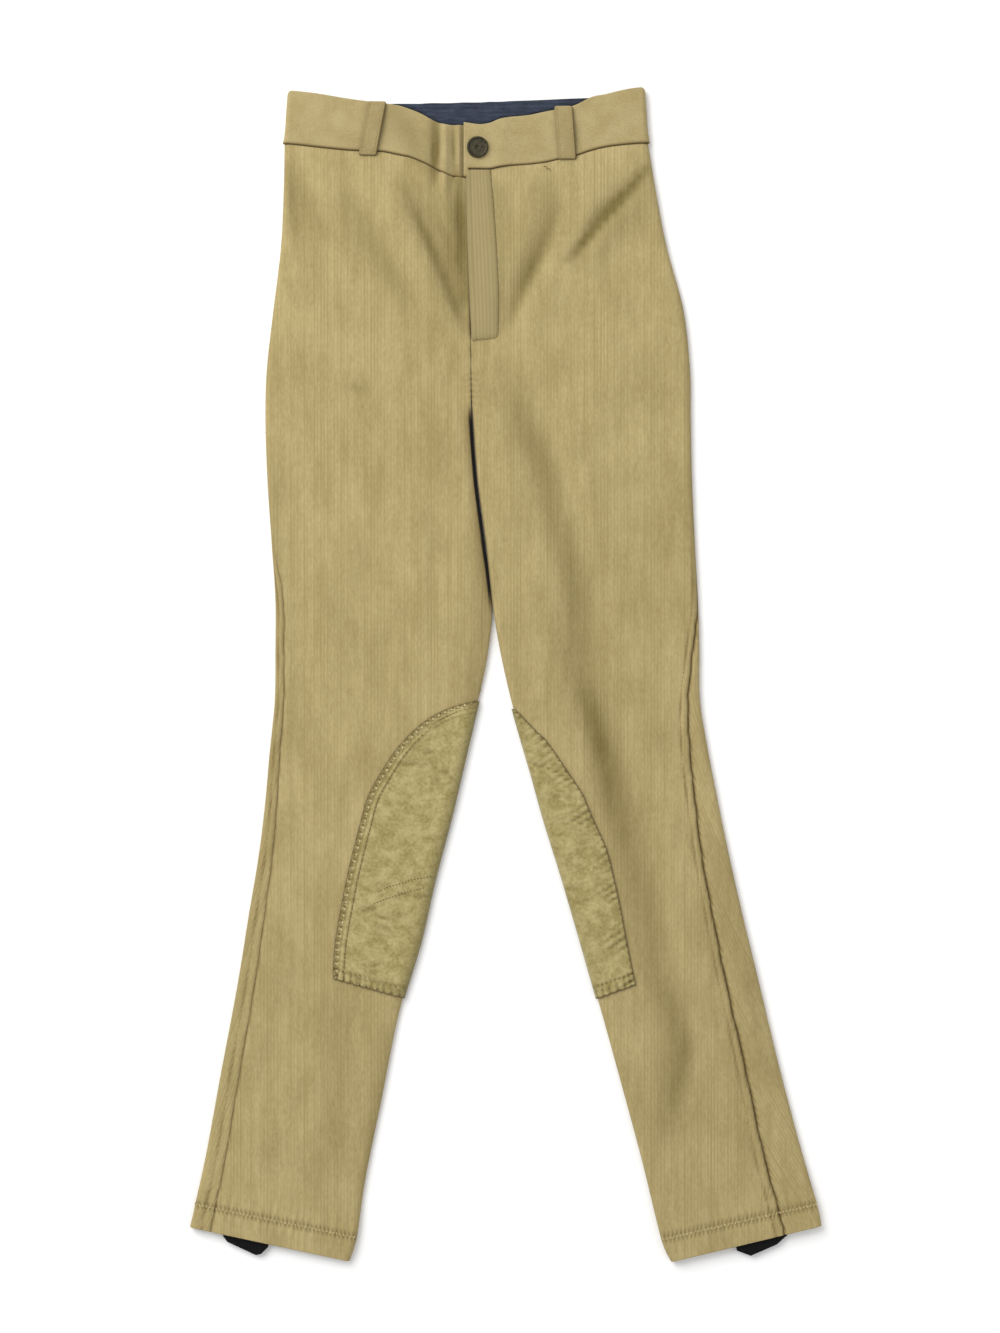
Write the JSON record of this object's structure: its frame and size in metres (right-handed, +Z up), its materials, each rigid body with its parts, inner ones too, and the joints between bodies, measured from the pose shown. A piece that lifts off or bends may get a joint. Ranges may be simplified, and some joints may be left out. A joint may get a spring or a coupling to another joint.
{
  "type": "riding jodhpurs",
  "caption": "Child's beige ribbed riding jodhpurs laid flat, with snap waistband, fly, belt loops, suede knee patches and black elastics under the hems.",
  "frame": {"origin": "on the surface under the middle of the laid garment's outline", "axes": "+X to the viewer's right (the wearer's left leg), +Y towards the waistband, +Z up from the surface, out of the front"},
  "size_m": [0.4726, 0.8795, 0.0111],
  "materials": {
    "ribbed_cotton": "matte, fine lengthwise ribs",
    "band_twill": "matte, smooth twill",
    "suede": "napped suede, mottled",
    "navy_lining": "matte woven",
    "zip_tape": "matte woven tape",
    "black_elastic": "matte woven elastic",
    "antique_brass": "darkened, worn bright at the rim"
  },
  "bodies": {
    "root": {"front_right": "ribbed_cotton", "front_left": "ribbed_cotton", "back_right": "ribbed_cotton", "back_left": "ribbed_cotton", "waistband_front_right": "band_twill", "waistband_front_left": "band_twill", "waistband_back": "band_twill", "waistband_lining": "navy_lining", "fly": "ribbed_cotton", "zip_tape": "zip_tape", "belt_loop_right": "band_twill", "belt_loop_left": "band_twill", "knee_patch_right": "suede", "knee_patch_left": "suede", "stirrup_right": "black_elastic", "stirrup_left": "black_elastic", "snap_cap": "antique_brass"}
  },
  "joints": []
}
